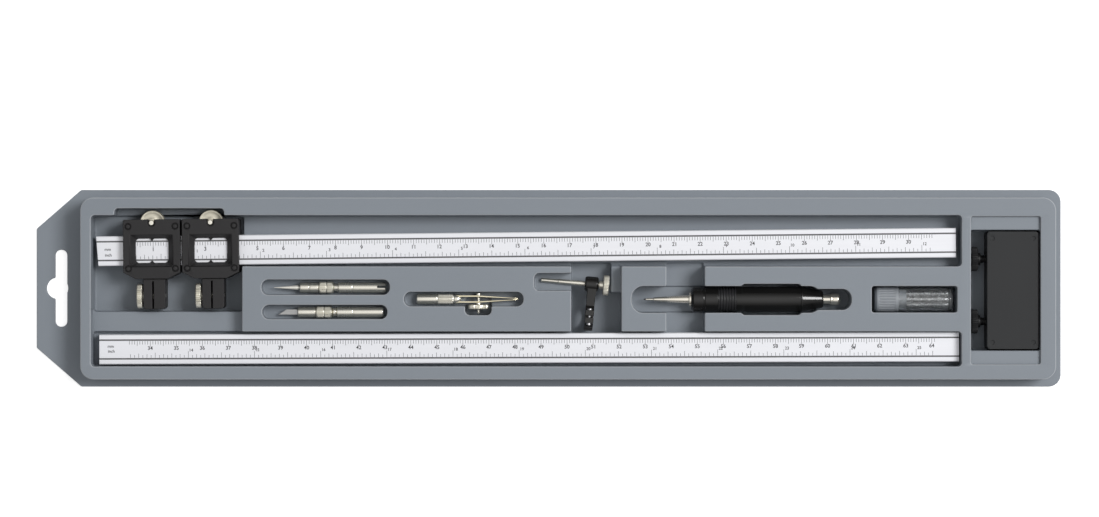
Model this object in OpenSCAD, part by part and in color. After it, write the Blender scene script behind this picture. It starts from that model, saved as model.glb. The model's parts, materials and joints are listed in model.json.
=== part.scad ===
// Beam compass set: two scale beams, two sliding heads, a coupler, drawing and cutting inserts,
// a pencil and a tube of leads, each lying in its own pocket of a moulded tray.
// Seen from above, +X runs along the beams, +Y to the roller side, +Z up.

/* [Beams] */
// Length of each scale beam
beam_l = 330; // [320:1:345]
// Width of each scale beam
beam_w = 11.4; // [11:0.1:12]
// Thickness of each scale beam
beam_t = 6; // [5.6:0.1:6.4]
// Width of the two grooves along the top of a beam
groove_w = 0.6; // [0.4:0.1:0.9]
// Depth of the grooves
groove_d = 0.4; // [0.2:0.1:0.6]
// Distance from a beam's edge to the middle of its groove
groove_in = 2.1; // [1.4:0.1:2.4]
// Depth of the relief along the underside of a beam
relief_d = 0.5; // [0.3:0.1:0.8]
// How far the left end of the upper beam is cut out of square, degrees
end_skew = 4; // [0:0.5:8]

/* [Heads] */
// Width of a head along the beam
head_w = 21.8; // [21:0.1:22.2]
// Thickness of a head, both shells together
head_t = 12.4; // [12:0.1:13.4]
// Head wall above the beam, which holds the roller
head_top = 6.3; // [6:0.1:6.8]
// Head wall below the beam, which holds the spring shoe
head_foot = 5.1; // [4.9:0.1:5.5]
// Height of the cut corners at the foot
foot_cut = 2.4; // [1.8:0.1:2.6]
// Window opening along the beam
window_w = 12.5; // [11.5:0.1:13]
// How much narrower than the beam the window is
window_less = 2.1; // [1.7:0.1:2.6]
// Width of the sloped rim round the window
bezel = 1.9; // [1.5:0.1:2.1]
// Height of the index points in the window
index_h = 1; // [0.6:0.1:1.4]
// Radius of the drive roller
roller_r = 4.9; // [4.6:0.1:5.1]
// Thickness of the drive roller
roller_t = 3.4; // [2.8:0.1:3.8]
// Radius of the roller's axle
axle_r = 1; // [0.8:0.1:1.1]
// Thickness of the spring shoe
shoe_t = 1.2; // [1:0.1:1.3]

/* [Tool clamp] */
// Diameter of every insert's shank
shank_d = 4; // [3.8:0.1:4.1]
// Length of the split jaws below the head
jaw_l = 11.6; // [11:0.1:12]
// Width of the split jaws
jaw_w = 8.4; // [8.2:0.1:8.8]
// Width of the slit between the jaws
slit_w = 0.6; // [0.4:0.1:0.8]
// Diameter of the knurled clamp nut
nut_d = 9.5; // [9:0.1:9.8]
// Thickness of the knurled clamp nut
nut_t = 2.2; // [1.8:0.1:2.4]
// Diameter of the clamp stud
stud_d = 2.4; // [2:0.1:2.6]

/* [Coupler] */
// Width of the coupler across the beams
coupler_w = 19.7; // [19:0.1:20.5]
// Length of the coupler along its sleeve
coupler_l = 45.1; // [43:0.1:46.5]
// Height of the coupler
coupler_t = 11.4; // [10.8:0.1:12]
// Diameter of a coupler thumb screw
knob_d = 9.3; // [8.8:0.1:9.8]
// Thickness of a coupler thumb screw's head
knob_t = 2.6; // [2.2:0.1:2.8]

/* [Inserts] */
// Length of the needle insert
needle_l = 43.1; // [42:0.1:45]
// Length of the knife insert
knife_l = 40.5; // [39.5:0.1:42]
// Length of the ruling pen
pen_l = 39.5; // [38.5:0.1:41]
// Diameter of the ruling pen's nut
pen_nut_d = 7.8; // [7.4:0.1:8.2]
// Diameter of the knurled collars
collar_d = 4.5; // [4.3:0.1:4.6]

/* [Pen adapter] */
// Length of the adapter's rod outside its boss
rod_l = 17; // [16:0.1:18]
// Diameter of the adapter's rod
rod_d = 1.9; // [1.7:0.1:2.2]
// Inner diameter of the adapter's pen ring
ring_bore = 7.6; // [7:0.1:8]
// Outer diameter of the adapter's pen ring
ring_d = 11.2; // [10.8:0.1:11.4]
// Distance from the rod to the middle of the pen ring
ring_drop = 12.4; // [12:0.1:12.6]
// Diameter of the adapter's thumb screw
screw_d = 7.8; // [7.4:0.1:8.2]

/* [Pencil and leads] */
// Length of the pencil
pencil_l = 74.7; // [74:0.1:78]
// Diameter of the pencil's barrel
barrel_d = 9.7; // [9.4:0.1:10]
// Number of ribs on the pencil's grip
ribs = 6; // [4:1:8]
// Width of the finger space beside the pencil
pencil_room = 12; // [11.4:0.1:12.6]
// How far the push button travels
button_travel = 2.5; // [1.5:0.1:2.7]
// Length of the lead tube with its cap
tube_l = 29.9; // [29:0.1:32]
// Outer diameter of the lead tube
tube_d = 9.3; // [9:0.1:9.6]
// Diameter of a spare lead
lead_d = 2; // [1.8:0.1:2]

/* [Tray] */
// Width of the tray across its flange
flange_w = 76; // [75.4:0.1:80]
// Width of the raised part
raised_w = 69.6; // [68.6:0.1:72]
// Sheet thickness of the tray
skin = 1.2; // [1:0.1:1.4]
// How far the rim stands above the heads
rim_over = 0.7; // [0.5:0.1:2]
// Length of the hang tab
tab_l = 18.4; // [17:0.1:20]
// Length of the hang slot
slot_l = 29.7; // [24:0.1:32]
// Width of the hang slot
slot_w = 4.5; // [4.2:0.1:5]
// Gap between a piece and the floor it lies on
seat = 0.2; // [0.1:0.05:0.3]

/* [Hidden] */
$fn = 64;
run = 0.1;   // clearance of a head round its beam
turn = 0.05; // radial clearance of a turning pin in its hole
head_travel = 9.5; // how far head A slides to the left inside its pocket
upper_tilt = 0.57;
lower_tilt = 0.19;
adapter_tilt = -4.9;

// heights: the heads lie on the deep floor, and everything else hangs on them
deep = skin;
beam_z = deep + seat + head_t / 2;
channel_z = beam_z - beam_t / 2 - seat;
tray_h = deep + seat + head_t + rim_over;
tool_floor = tray_h - 6.5;
clamp_wall = 0.61; // room under a shank for the wall of the clamp that grips it
tool_z = tool_floor + max(seat + collar_d / 2, shank_d / 2 + clamp_wall);
pen_z = tool_floor + seat + shank_d / 2;
rod_z = tool_floor + seat + rod_d / 2;
pencil_floor = deep + 1.3;
pencil_z = pencil_floor + seat + barrel_d / 2;
tube_z = pencil_z;

// places along the tray, measured from the flange's left edge
pocket_x = tab_l + 4;
upper_x = pocket_x + 1.7 + beam_l / 2;
lower_x = pocket_x + 2.9 + beam_l / 2;
head_a_x = pocket_x + 23.2;
head_b_x = head_a_x + head_w + 0.75;
pocket_end = head_b_x + head_w / 2 + 1.35;
needle_x = pocket_end + 11.9;
knife_x = needle_x + 1.7;
pen_x = needle_x + max(needle_l, knife_l + 1.7) + 11.6;
adapter_x = pen_x + pen_l + 8.2 + rod_l;
pencil_x = adapter_x + 23.4;
slot_x = pencil_x + 7.7;
tube_x = pencil_x + pencil_l + 13.2;
channel_end = max(lower_x + beam_l / 2, tube_x + tube_l + 1.7) + 0.7;
coupler_x = channel_end + 9.9;
coupler_end = coupler_x + coupler_w + 0.6;
raised_end = coupler_end + 5.9;
tray_l = raised_end + 3.5;
left = -tray_l / 2;

// places across the tray
upper_y = 15.93;
lower_y = -22.92;
needle_y = 0.35;
knife_y = -9.05;
pen_y = -4.05;
adapter_y = 1.85;
pencil_y = -4.2;
tube_y = -4.15;
coupler_y = -0.7;

// head places across its beam
head_up = beam_w / 2 + head_top;
head_down = beam_w / 2 + head_foot;
roller_y = beam_w / 2 + roller_r + turn;
window_h = beam_w - window_less;
shoe_gap = 0.05;
shoe_pocket = 2.4;
jaw_x = 0.8;      // middle of the jaws
bore_x = 0.3;     // middle of the slit and of the tool bore
bore_z = -2.7;
stud_y = -head_down - 6.6;
stud_z = 1.6;
jaw_top = 5;
plug = 0.4;       // overlap where two pieces of one moulding join

// head A stands at the low end of the tilted beam, head B beside it
function head_v(x) = upper_y + (x - upper_x) * sin(upper_tilt);
roller_top = head_v(head_b_x) + roller_y + roller_r;

// the insides of the small pieces, from their left ends
sleeve_x = 9.9;
collar_x = 17.2;
collar_l = 5.9;
neck_l = 1.6;
needle_r = 0.7;   // the needle's part inside its shank
knife_sleeve_x = 7.4;
knife_collar_x = 14.4;
knife_w = 2;      // width of the blade
pen_hold = 15.9;  // handle of the ruling pen
pen_screw_x = 23.8;
pen_screw_r = 0.6;
blade_gap = 2.8;
blade_t = 0.55;
boss_l = 5.2;
boss_r = 2.9;
arm_t = 3.3;
cone_l = pencil_l * 0.234;
grip_x = pencil_l * 0.372;   // ribbed part of the barrel
grip_l = pencil_l * 0.092;
rear_x = pencil_l * 0.798;
rear_end = pencil_l * 0.913;
clutch_x = pencil_l * 0.306;
lead_end = pencil_l * 0.58;
barrel_bore = 2.6;
grip_core = barrel_d / 2 - 0.8;
button_r = 1.85;
cap_l = 9.2;
tube_wall = 0.8;
knob_pitch = coupler_l * 0.532;
knob_stand = 3.2; // gap between the coupler and the heads of its thumb screws
knob_room = knob_stand + knob_t + 0.6;
step_l = 5.8;     // shallow step at the coupler's two ends

// each pocket: left, front, right, back, corner radius, floor
POCKETS = [
  // the heads
  [pocket_x, -9, pocket_end, 28.1, 1.5, deep],
  // the rollers that stand out of the heads
  [head_a_x - head_travel - roller_r + 0.2, 24, head_b_x + roller_r + 0.4, roller_top + 0.45, 1.5, channel_z],
  // the upper beam
  [pocket_end - 12, upper_y - beam_w / 2 - 1.8, channel_end, upper_y + beam_w / 2 + 6.5, 1.5, channel_z],
  // the step between the heads and the lower beam
  [pocket_x, -18.5, pocket_end, -7.5, 0.8, tool_floor],
  // the lower beam
  [pocket_x, lower_y - beam_w / 2 - 1.3, channel_end, lower_y + beam_w / 2 + 0.8, 1.5, channel_z],
  // the needle and knife inserts
  [needle_x - 4.5, needle_y - 2.8, needle_x + needle_l + 1.5, needle_y + 3.1, 2.6, tool_floor],
  [knife_x - 5.9, knife_y - 2.7, knife_x + knife_l + 1.5, knife_y + 2.8, 2.6, tool_floor],
  // the ruling pen and its nut
  [pen_x - 4.6, pen_y - 2.8, pen_x + pen_l + 1.6, pen_y + 2.8, 2.6, tool_floor],
  [pen_x + pen_screw_x - 5.1, pen_y - 6.2, pen_x + pen_screw_x + 5.1, pen_y + 1, 2,
   pen_z - pen_nut_d / 2 - 0.3],
  // the pen adapter's rod, its ring, and the ledge beside its thumb screw
  [adapter_x - rod_l - 2.5, adapter_y - 2.7, adapter_x, adapter_y + 4.1, 2, tool_floor],
  [adapter_x - 5.3, -18, adapter_x + 10.2, 10, 0.8, deep],
  [adapter_x - 5.3, -18, adapter_x + 14, -1.4, 0.8, deep],
  [adapter_x, -18, adapter_x + 14, 10, 0.8, tool_floor],
  // the pencil: barrel, finger space and button
  [pencil_x - 5.6, pencil_y - barrel_d / 2 - 0.3, pencil_x + pencil_l * 0.9,
   pencil_y + barrel_d / 2 + 0.3, 4.6, pencil_floor],
  [pencil_x + pencil_l * 0.487, pencil_y - pencil_room / 2, pencil_x + rear_x,
   pencil_y + pencil_room / 2, 1.6, deep],
  [pencil_x + pencil_l * 0.8, pencil_y - 4.05, pencil_x + pencil_l + 4, pencil_y + 4.05, 3.6,
   pencil_floor],
  // the finger slot across the pencil
  [slot_x, -18, slot_x + 14.8, 10, 0.8, deep + 1.8],
  // the lead tube
  [tube_x - 1.5, tube_y - 5.1, tube_x + tube_l + 1.4, tube_y + 5.1, 1, tube_z - 4.8 - seat],
  // the coupler, and the shallow step at its two ends
  [coupler_x - knob_room, coupler_y - coupler_l / 2 - 0.6, coupler_end, coupler_y + coupler_l / 2 + 0.6,
   0.8, deep],
  [coupler_x - knob_room, coupler_y - coupler_l / 2 - step_l, coupler_end, coupler_y + coupler_l / 2 + step_l,
   0.8, tray_h - 1.5]
];

// ---- shapes that repeat ----

// rounded rectangle between two corners
module rounded(x1, y1, x2, y2, r) {
  translate([x1 + r, y1]) square([x2 - x1 - 2 * r, y2 - y1]);
  translate([x1, y1 + r]) square([x2 - x1, y2 - y1 - 2 * r]);
  for (x = [x1 + r, x2 - r], y = [y1 + r, y2 - r])
    translate([x, y]) circle(r);
}

// solid turned about the X axis, from points of place and radius
module turned(points) {
  last = points[len(points) - 1];
  rotate([0, 90, 0]) rotate_extrude()
    polygon(concat([[0, points[0][0]]], [for (p = points) [p[1], p[0]]], [[0, last[0]]]));
}

// bore along X from x1 to x2
module bore_x(r, x1, x2) {
  translate([x1, 0, 0]) rotate([0, 90, 0]) cylinder(h = x2 - x1, r = r);
}

// disc on the X axis with its edges broken and V grooves round its rim
module knurled_disc(x1, x2, r, grooves) {
  side = 0.26; // side of the square bar that cuts a groove
  difference() {
    turned([[x1, r - 0.3], [x1 + 0.3, r], [x2 - 0.3, r], [x2, r - 0.3]]);
    for (i = [0:grooves - 1]) rotate([i * 360 / grooves, 0, 0])
      translate([(x1 + x2) / 2, 0, r]) rotate([45, 0, 0]) cube([x2 - x1 + 1, side, side], center = true);
  }
}

module upper_frame() {
  translate([left + upper_x, upper_y, beam_z]) rotate([0, 0, upper_tilt]) children();
}

module at_head(x) {
  upper_frame() translate([x - upper_x, 0, 0]) children();
}

// ---- tray ----

module tray_pockets(grow, drop) {
  for (p = POCKETS)
    translate([0, 0, p[5] - drop])
      linear_extrude(tray_h - p[5] + 2 * drop + 1 - grow)
        rounded(p[0] - grow, p[1] - grow, p[2] + grow, p[3] + grow, p[4] + grow);
}

module flange_outline() {
  half = flange_w / 2;
  cut = tab_l - 1.2;
  corner = 4.6;
  polygon([[0, half - cut + 2.2], [cut, half], [tray_l / 2, half],
           [tray_l / 2, -half], [cut, -half], [0, cut - 2.2 - half]]);
  rounded(tray_l / 4, -half, tray_l, half, corner);
}

module hang_slot() {
  mid = tab_l - 8.9;
  rounded(mid - slot_w / 2, -slot_l / 2, mid + slot_w / 2, slot_l / 2, slot_w / 2 - 0.1);
  translate([mid - 1.5, 0]) circle(4.1);
}

module tray() {
  color("#828a94") translate([left, 0, 0]) difference() {
    union() {
      linear_extrude(skin) flange_outline();
      linear_extrude(tray_h) rounded(tab_l, -raised_w / 2, raised_end, raised_w / 2, 5);
    }
    // the hollow under the sheet
    difference() {
      translate([0, 0, -1]) linear_extrude(tray_h - skin + 1)
        rounded(tab_l + skin, skin - raised_w / 2, raised_end - skin, raised_w / 2 - skin, 5 - skin);
      tray_pockets(skin, skin);
    }
    tray_pockets(0, 0);
    translate([0, 0, -1]) linear_extrude(skin + 2) hang_slot();
  }
}

// ---- beams ----

module beam_profile() {
  edge = 0.3;
  y = beam_w / 2;
  z = beam_t / 2;
  difference() {
    polygon([[edge - y, -z], [y - edge, -z], [y, edge - z], [y, z - edge],
             [y - edge, z], [edge - y, z], [-y, z - edge], [-y, edge - z]]);
    for (side = [-1, 1])
      translate([side * (y - groove_in) - groove_w / 2, z - groove_d]) square([groove_w, groove_d + 1]);
    translate([groove_in - y, -z - 1]) square([beam_w - 2 * groove_in, relief_d + 1]);
  }
}

module beam_bar() {
  rotate([90, 0, 90]) linear_extrude(beam_l, center = true) beam_profile();
}

module upper_beam() {
  color("#d6d8dc") upper_frame() difference() {
    beam_bar();
    translate([-beam_l / 2, beam_w / 2, -beam_t]) rotate([0, 0, end_skew])
      translate([-10, -2 * beam_w, 0]) cube([10, 3 * beam_w, 2 * beam_t]);
  }
}

module lower_beam() {
  color("#d6d8dc") translate([left + lower_x, lower_y, beam_z]) rotate([0, 0, lower_tilt]) beam_bar();
}

// ---- heads ----

module head_outline() {
  intersection() {
    rounded(-head_w / 2, -head_down, head_w / 2, head_up, 0.8);
    polygon([[-head_w / 2, head_up], [-head_w / 2, foot_cut - head_down], [-6.2, -head_down],
             [6.2, -head_down], [head_w / 2, foot_cut - head_down], [head_w / 2, head_up]]);
  }
}

// window with an index point at the middle of its two long sides
module window_shape() {
  w = window_w / 2;
  h = window_h / 2;
  cut = 0.9;
  tip = index_h * 0.8;
  polygon([[-w, cut - h], [cut - w, -h], [-tip, -h], [0, index_h - h], [tip, -h], [w - cut, -h],
           [w, cut - h], [w, h - cut], [w - cut, h], [tip, h], [0, h - index_h], [-tip, h],
           [cut - w, h], [-w, h - cut]]);
}

// sloped rim: wide at the face, narrow at the window
module bezel_cut() {
  z1 = beam_t / 2 + run + 0.7;
  z2 = head_t / 2;
  rise = 0.2;
  intersection() {
    rotate([90, 0, 0]) linear_extrude(60, center = true)
      polygon([[-window_w / 2, z1], [window_w / 2, z1], [window_w / 2 + bezel, z2],
               [window_w / 2 + bezel, z2 + rise], [-window_w / 2 - bezel, z2 + rise],
               [-window_w / 2 - bezel, z2]]);
    rotate([90, 0, 90]) linear_extrude(60, center = true)
      polygon([[-window_h / 2, z1], [window_h / 2, z1], [window_h / 2 + bezel * 0.75, z2],
               [window_h / 2 + bezel * 0.75, z2 + rise], [-window_h / 2 - bezel * 0.75, z2 + rise],
               [-window_h / 2 - bezel * 0.75, z2]]);
  }
}

// room for the beam, the roller, the axle and the shoe, cut from both shells
module head_rooms() {
  cube([head_w + 2, beam_w + 2 * run, beam_t + 2 * run], center = true);
  translate([0, roller_y, 0]) cylinder(h = roller_t + 0.4, r = roller_r + 0.3, center = true);
  notch = axle_r + turn;
  translate([0, roller_y, 1 - head_t / 2]) cylinder(h = head_t, r = notch);
  translate([-notch, roller_y, 1 - head_t / 2]) cube([2 * notch, head_top, head_t]);
  translate([0, -beam_w / 2 - run - shoe_pocket / 2 + plug / 2, 0])
    cube([14, shoe_pocket + plug, 4.4], center = true);
}

module screw_places() {
  for (x = [-1, 1] * (head_w / 2 - 1.9), y = [head_up - 2.7, 3.9 - head_down])
    translate([x, y, 0]) children();
}

module head_front() {
  color("#3c3a3c") difference() {
    linear_extrude(head_t / 2) head_outline();
    head_rooms();
    linear_extrude(head_t) window_shape();
    bezel_cut();
    translate([0, roller_y, head_t / 2 - 1]) cylinder(h = 2, r = axle_r + 0.5);
    screw_places() cylinder(h = head_t / 2 - 1.7, r = 0.65);
    screw_places() translate([0, 0, head_t / 2 - 0.15]) difference() {
      cylinder(h = 1, r = 1.25);
      translate([0, 0, -1]) cylinder(h = 3, r = 0.85);
    }
  }
}

module jaws() {
  x1 = jaw_x - jaw_w / 2;
  x2 = jaw_x + jaw_w / 2;
  y1 = -head_down - jaw_l;
  translate([0, 0, -head_t / 2]) linear_extrude(head_t / 2) rounded(x1, y1, x2, 2 - head_down, 1.2);
  translate([0, 0, -1]) linear_extrude(jaw_top + 1) difference() {
    rounded(x1, y1, x2, 2 - head_down, 1.2);
    translate([x1 - 1, -head_down - turn]) square([jaw_w + 2, 5]);
  }
}

module head_back() {
  color("#3c3a3c") difference() {
    union() {
      translate([0, 0, -head_t / 2]) linear_extrude(head_t / 2) head_outline();
      jaws();
    }
    head_rooms();
    translate([bore_x - slit_w / 2, -head_down - jaw_l - 1, -head_t]) cube([slit_w, jaw_l, 2 * head_t]);
    translate([bore_x, -head_down - 1, bore_z]) rotate([90, 0, 0])
      cylinder(h = jaw_l, r = shank_d / 2 + turn);
    translate([0, stud_y, stud_z]) bore_x(stud_d / 2 + turn, -20, 20);
    screw_places() translate([0, 0, -head_t / 2 - 1]) cylinder(h = head_t, r = 0.65);
    screw_places() translate([0, 0, -head_t / 2 - 1]) cylinder(h = 2.2, r = 1.35);
  }
}

module head_screws() {
  color("#8d8f92") screw_places() {
    translate([0, 0, -head_t / 2]) cylinder(h = head_t - 2.4, r = 0.65);
    translate([0, 0, -head_t / 2 + 0.1]) cylinder(h = 1.1, r = 1.35);
  }
}

module head_shoe() {
  color("#c9b98a") translate([0, -beam_w / 2 - shoe_gap - shoe_t / 2, 0])
    cube([13.6, shoe_t, 4], center = true);
}

// bowed leaf that pushes the shoe against the beam
module head_spring() {
  leaf = 0.25;
  bow_r = 18.5;
  top = -beam_w / 2 - shoe_gap - shoe_t;
  color("#b9bcc0") intersection() {
    translate([0, top - bow_r, -1.6]) difference() {
      cylinder(h = 3.2, r = bow_r);
      translate([0, 0, -1]) cylinder(h = 5.2, r = bow_r - leaf);
    }
    translate([-5.9, top - 3, -2]) cube([11.8, 4, 4]);
  }
}

module roller() {
  color("#c8bfa4") translate([0, roller_y, 0]) rotate([0, -90, 0]) difference() {
    knurled_disc(-roller_t / 2, roller_t / 2, roller_r, 48);
    bore_x(axle_r, -roller_t, roller_t);
  }
}

module axle() {
  color("#d8d4c6") translate([0, roller_y, 1.2 - head_t / 2]) cylinder(h = head_t - 1.6, r = axle_r);
}

module clamp_screw() {
  x1 = jaw_x - jaw_w / 2;
  color("#d9cfae") translate([0, stud_y, stud_z]) {
    knurled_disc(x1 - 0.4 - nut_t, x1 - 0.4, nut_d / 2, 44);
    turned([[x1 - 0.5, 2.2], [x1 - 0.15, 2.2]]);
    turned([[x1 - 0.5, stud_d / 2], [jaw_x + jaw_w / 2 - 0.1, stud_d / 2]]);
  }
}

// ---- coupler ----

passage_w = beam_w + 0.3;
passage_h = beam_t + 0.3;
cover_t = (coupler_t - passage_h) / 2;
gib_t = 0.8;
gib_h = 4.4;
gib_l = coupler_l * 0.843;
gib_room = 0.2;
coupler_mid = coupler_x + coupler_w / 2;
knob_z = coupler_t / 2;

module coupler_frame() {
  translate([left + coupler_mid, coupler_y, deep + seat]) children();
}

module coupler_outline() {
  rounded(-coupler_w / 2, -coupler_l / 2, coupler_w / 2, coupler_l / 2, 1.2);
}

module coupler_corners() {
  for (x = [-1, 1] * (coupler_w / 2 + passage_w / 2) / 2, y = [-1, 1] * (coupler_l / 2 - 2.6))
    translate([x, y, 0]) children();
}

module coupler_base() {
  color("#4a4c4e") coupler_frame() difference() {
    linear_extrude(coupler_t - cover_t) coupler_outline();
    translate([-passage_w / 2, -coupler_l, cover_t]) cube([passage_w, 2 * coupler_l, coupler_t]);
    translate([-passage_w / 2 - gib_t - gib_room, -gib_l / 2 - gib_room, knob_z - gib_h / 2 - gib_room])
      cube([gib_t + gib_room + 1, gib_l + 2 * gib_room, gib_h + 2 * gib_room]);
    for (y = [-1, 1] * knob_pitch / 2)
      translate([0, y, knob_z]) bore_x(1.5 + turn, -coupler_w, -passage_w / 2);
    coupler_corners() translate([0, 0, -1]) cylinder(h = 2.2, r = 1.4);
    coupler_corners() translate([0, 0, -1]) cylinder(h = coupler_t, r = 0.7);
  }
}

module coupler_cover() {
  color("#4a4c4e") coupler_frame() difference() {
    translate([0, 0, coupler_t - cover_t]) linear_extrude(cover_t) coupler_outline();
    coupler_corners() cylinder(h = coupler_t - 1, r = 0.7);
    coupler_corners() translate([0, 0, coupler_t - 0.25]) cylinder(h = 1, r = 0.8);
  }
}

module coupler_screws() {
  color("#8d8f92") coupler_frame() coupler_corners() {
    translate([0, 0, 0.1]) cylinder(h = 1.1, r = 1.4);
    translate([0, 0, 0.1]) cylinder(h = coupler_t - 1.3, r = 0.7);
  }
}

// strip that spreads the thumb screws' push along the beams
module coupler_gib() {
  color("#b79a55") coupler_frame()
    translate([-passage_w / 2 - gib_t, -gib_l / 2, knob_z - gib_h / 2]) cube([gib_t, gib_l, gib_h]);
}

module coupler_knob(y) {
  face = -coupler_w / 2;
  head = face - knob_stand;
  color("#1c1c1e") coupler_frame() translate([0, y, knob_z]) {
    knurled_disc(head - knob_t, head, knob_d / 2, 44);
    turned([[head - 0.1, 2.4], [face - 2.2, 2.4], [face - 1.9, 1.5], [-passage_w / 2 - gib_t - 0.1, 1.5]]);
  }
}

// ---- needle and knife inserts ----

module needle_frame() {
  translate([left + needle_x, needle_y, tool_z]) children();
}

module needle_shank() {
  neck = collar_x + collar_l;
  r = shank_d / 2;
  color("#cfc9b4") needle_frame() difference() {
    turned([[sleeve_x, r - 0.35], [sleeve_x + 0.35, r], [collar_x, r], [collar_x, 1.2],
            [neck, 1.2], [neck, 1.5], [neck + neck_l, 1.5], [neck + neck_l, r - 0.2],
            [neck + neck_l + 0.2, r], [needle_l - 0.3, r], [needle_l, r - 0.3]]);
    bore_x(needle_r, 0, sleeve_x + 5);
    translate([needle_l - 3.4, -0.2, -3]) cube([6, 1, 6]);
  }
}

module needle_point() {
  color("#dfe0e0") needle_frame()
    turned([[0, 0.08], [sleeve_x - 0.6, 0.95], [sleeve_x - 0.6, needle_r], [sleeve_x + 5, needle_r]]);
}

module needle_collar() {
  color("#c6bd9f") needle_frame() difference() {
    knurled_disc(collar_x + 0.1, collar_x + collar_l - 0.1, collar_d / 2, 24);
    bore_x(1.2 + turn, 0, needle_l);
  }
}

module knife_frame() {
  translate([left + knife_x, knife_y, tool_z]) children();
}

module knife_shank() {
  neck = knife_collar_x + collar_l + 0.5;
  r = shank_d / 2;
  color("#cfc9b4") knife_frame() difference() {
    turned([[knife_sleeve_x, r - 0.35], [knife_sleeve_x + 0.35, r], [knife_collar_x, r],
            [knife_collar_x, 1.2], [neck, 1.2], [neck, 1.3], [neck + 0.4, 1.8], [neck + 1.2, 1.8],
            [neck + 1.6, 1.3], [neck + 1.6, r - 0.2], [neck + 1.8, r], [knife_l - 0.3, r],
            [knife_l, r - 0.3]]);
    translate([0, -knife_w / 2, -0.2]) cube([knife_sleeve_x + 4, knife_w, 0.4]);
  }
}

module knife_blade() {
  color("#5c5d60") knife_frame() translate([0, 0, -0.2]) linear_extrude(0.4)
    polygon([[0, -knife_w / 2], [knife_sleeve_x + 4, -knife_w / 2], [knife_sleeve_x + 4, knife_w / 2],
             [3.2, knife_w / 2]]);
}

module knife_collar() {
  color("#c6bd9f") knife_frame() difference() {
    knurled_disc(knife_collar_x + 0.1, knife_collar_x + collar_l + 0.4, collar_d / 2, 24);
    bore_x(1.2 + turn, 0, knife_l);
  }
}

// ---- ruling pen ----

module pen_frame() {
  translate([left + pen_x, pen_y, pen_z]) children();
}

module pen_handle() {
  r = shank_d / 2;
  color("#cbc4ad") pen_frame() difference() {
    turned([[0, r - 0.3], [0.3, r], [pen_hold - 8, r], [pen_hold - 7.9, r - 0.15], [pen_hold - 1.4, r - 0.15],
            [pen_hold - 1.3, r], [pen_hold, r], [pen_hold + 1.2, 1.5]]);
    for (side = [-1, 1])
      translate([pen_hold - 0.6, side * (blade_gap / 2 - blade_t / 2) - blade_t / 2, -1.6])
        cube([3, blade_t, 3.2]);
  }
}

// spear-shaped leaf on one side of the pen, bowed and closing at the tip
module pen_blade(side) {
  root = pen_hold - 0.6;
  out = blade_gap / 2;
  color("#c8bfa0") pen_frame() intersection() {
    translate([0, 0, -3]) linear_extrude(6)
      polygon([[root, side * out], [pen_screw_x, side * out], [pen_l, side * 0.3], [pen_l, side * 0.08],
               [pen_screw_x, side * (out - blade_t)], [root, side * (out - blade_t)]]);
    rotate([90, 0, 0]) linear_extrude(6, center = true)
      polygon([[root, -1.6], [pen_screw_x, -1.6], [pen_l - 3, -0.9], [pen_l, -0.25],
               [pen_l, 0.25], [pen_l - 3, 0.9], [pen_screw_x, 1.6], [root, 1.6]]);
  }
}

module pen_blade_with_hole(side) {
  difference() {
    pen_blade(side);
    pen_frame() translate([pen_screw_x, 0, 0]) rotate([90, 0, 0])
      cylinder(h = 20, r = pen_screw_r, center = true);
  }
}

module pen_screw() {
  color("#d9d2bb") pen_frame() translate([pen_screw_x, 0, 0]) rotate([90, 0, 0]) {
    translate([0, 0, -blade_gap / 2 - 0.9]) cylinder(h = 0.9, r = 1.1);
    translate([0, 0, -blade_gap / 2 - 0.5]) cylinder(h = blade_gap + 4.7, r = pen_screw_r);
  }
}

module pen_nut() {
  from = blade_gap / 2 + 0.15;
  color("#d9cfae") pen_frame() translate([pen_screw_x, 0, 0]) rotate([0, 0, -90]) difference() {
    union() {
      knurled_disc(from + 0.5, from + 2.4, pen_nut_d / 2, 36);
      turned([[from, 1.3], [from + 0.6, 1.3]]);
    }
    bore_x(pen_screw_r + turn, 0, 10);
  }
}

// ---- pen adapter ----

// the rod's axis leaves the middle of the boss towards -X, the ring stands below it towards -Y
module adapter_frame() {
  translate([left + adapter_x, adapter_y, rod_z]) rotate([0, 0, adapter_tilt]) children();
}

ring_z = deep + seat + ring_d / 2 - rod_z;
lug_h = 1.4;
lug_w = 5;
ring_slit = 0.6;
ring_x = 1.1; // left face of the ring and arm

module adapter_rod() {
  color("#dedccf") adapter_frame()
    turned([[-rod_l, 0.5], [0.3 - rod_l, 0.78], [6.6 - rod_l, 0.78], [6.8 - rod_l, rod_d / 2],
            [2.2, rod_d / 2]]);
}

module adapter_holder() {
  color("#161618") adapter_frame() difference() {
    union() {
      turned([[0, boss_r - 0.5], [0.5, boss_r], [boss_l - 0.5, boss_r], [boss_l, boss_r - 0.5]]);
      // the arm from the boss to the ring
      translate([ring_x, 0, 0]) rotate([90, 0, 90]) linear_extrude(arm_t)
        polygon([[0, -boss_r], [-ring_drop, ring_z - 2], [-ring_drop, ring_z + 3.4], [0, boss_r - 0.4]]);
      translate([0, -ring_drop, ring_z]) bore_x(ring_d / 2, ring_x, ring_x + arm_t);
      translate([ring_x, -ring_drop - lug_w / 2, ring_z + ring_d / 2 - 1])
        cube([arm_t, lug_w, lug_h + 1]);
    }
    translate([0, -ring_drop, ring_z]) bore_x(ring_bore / 2, -5, 10);
    translate([-5, -ring_drop - ring_slit / 2, ring_z]) cube([15, ring_slit, 20]);
    translate([ring_x + arm_t / 2, -ring_drop, ring_z + ring_d / 2 + 0.35]) rotate([90, 0, 0])
      cylinder(h = lug_w + 2, r = 0.5, center = true);
    bore_x(rod_d / 2, -5, 2.2);
    bore_x(1.1 + turn, 2, 10);
  }
}

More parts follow.
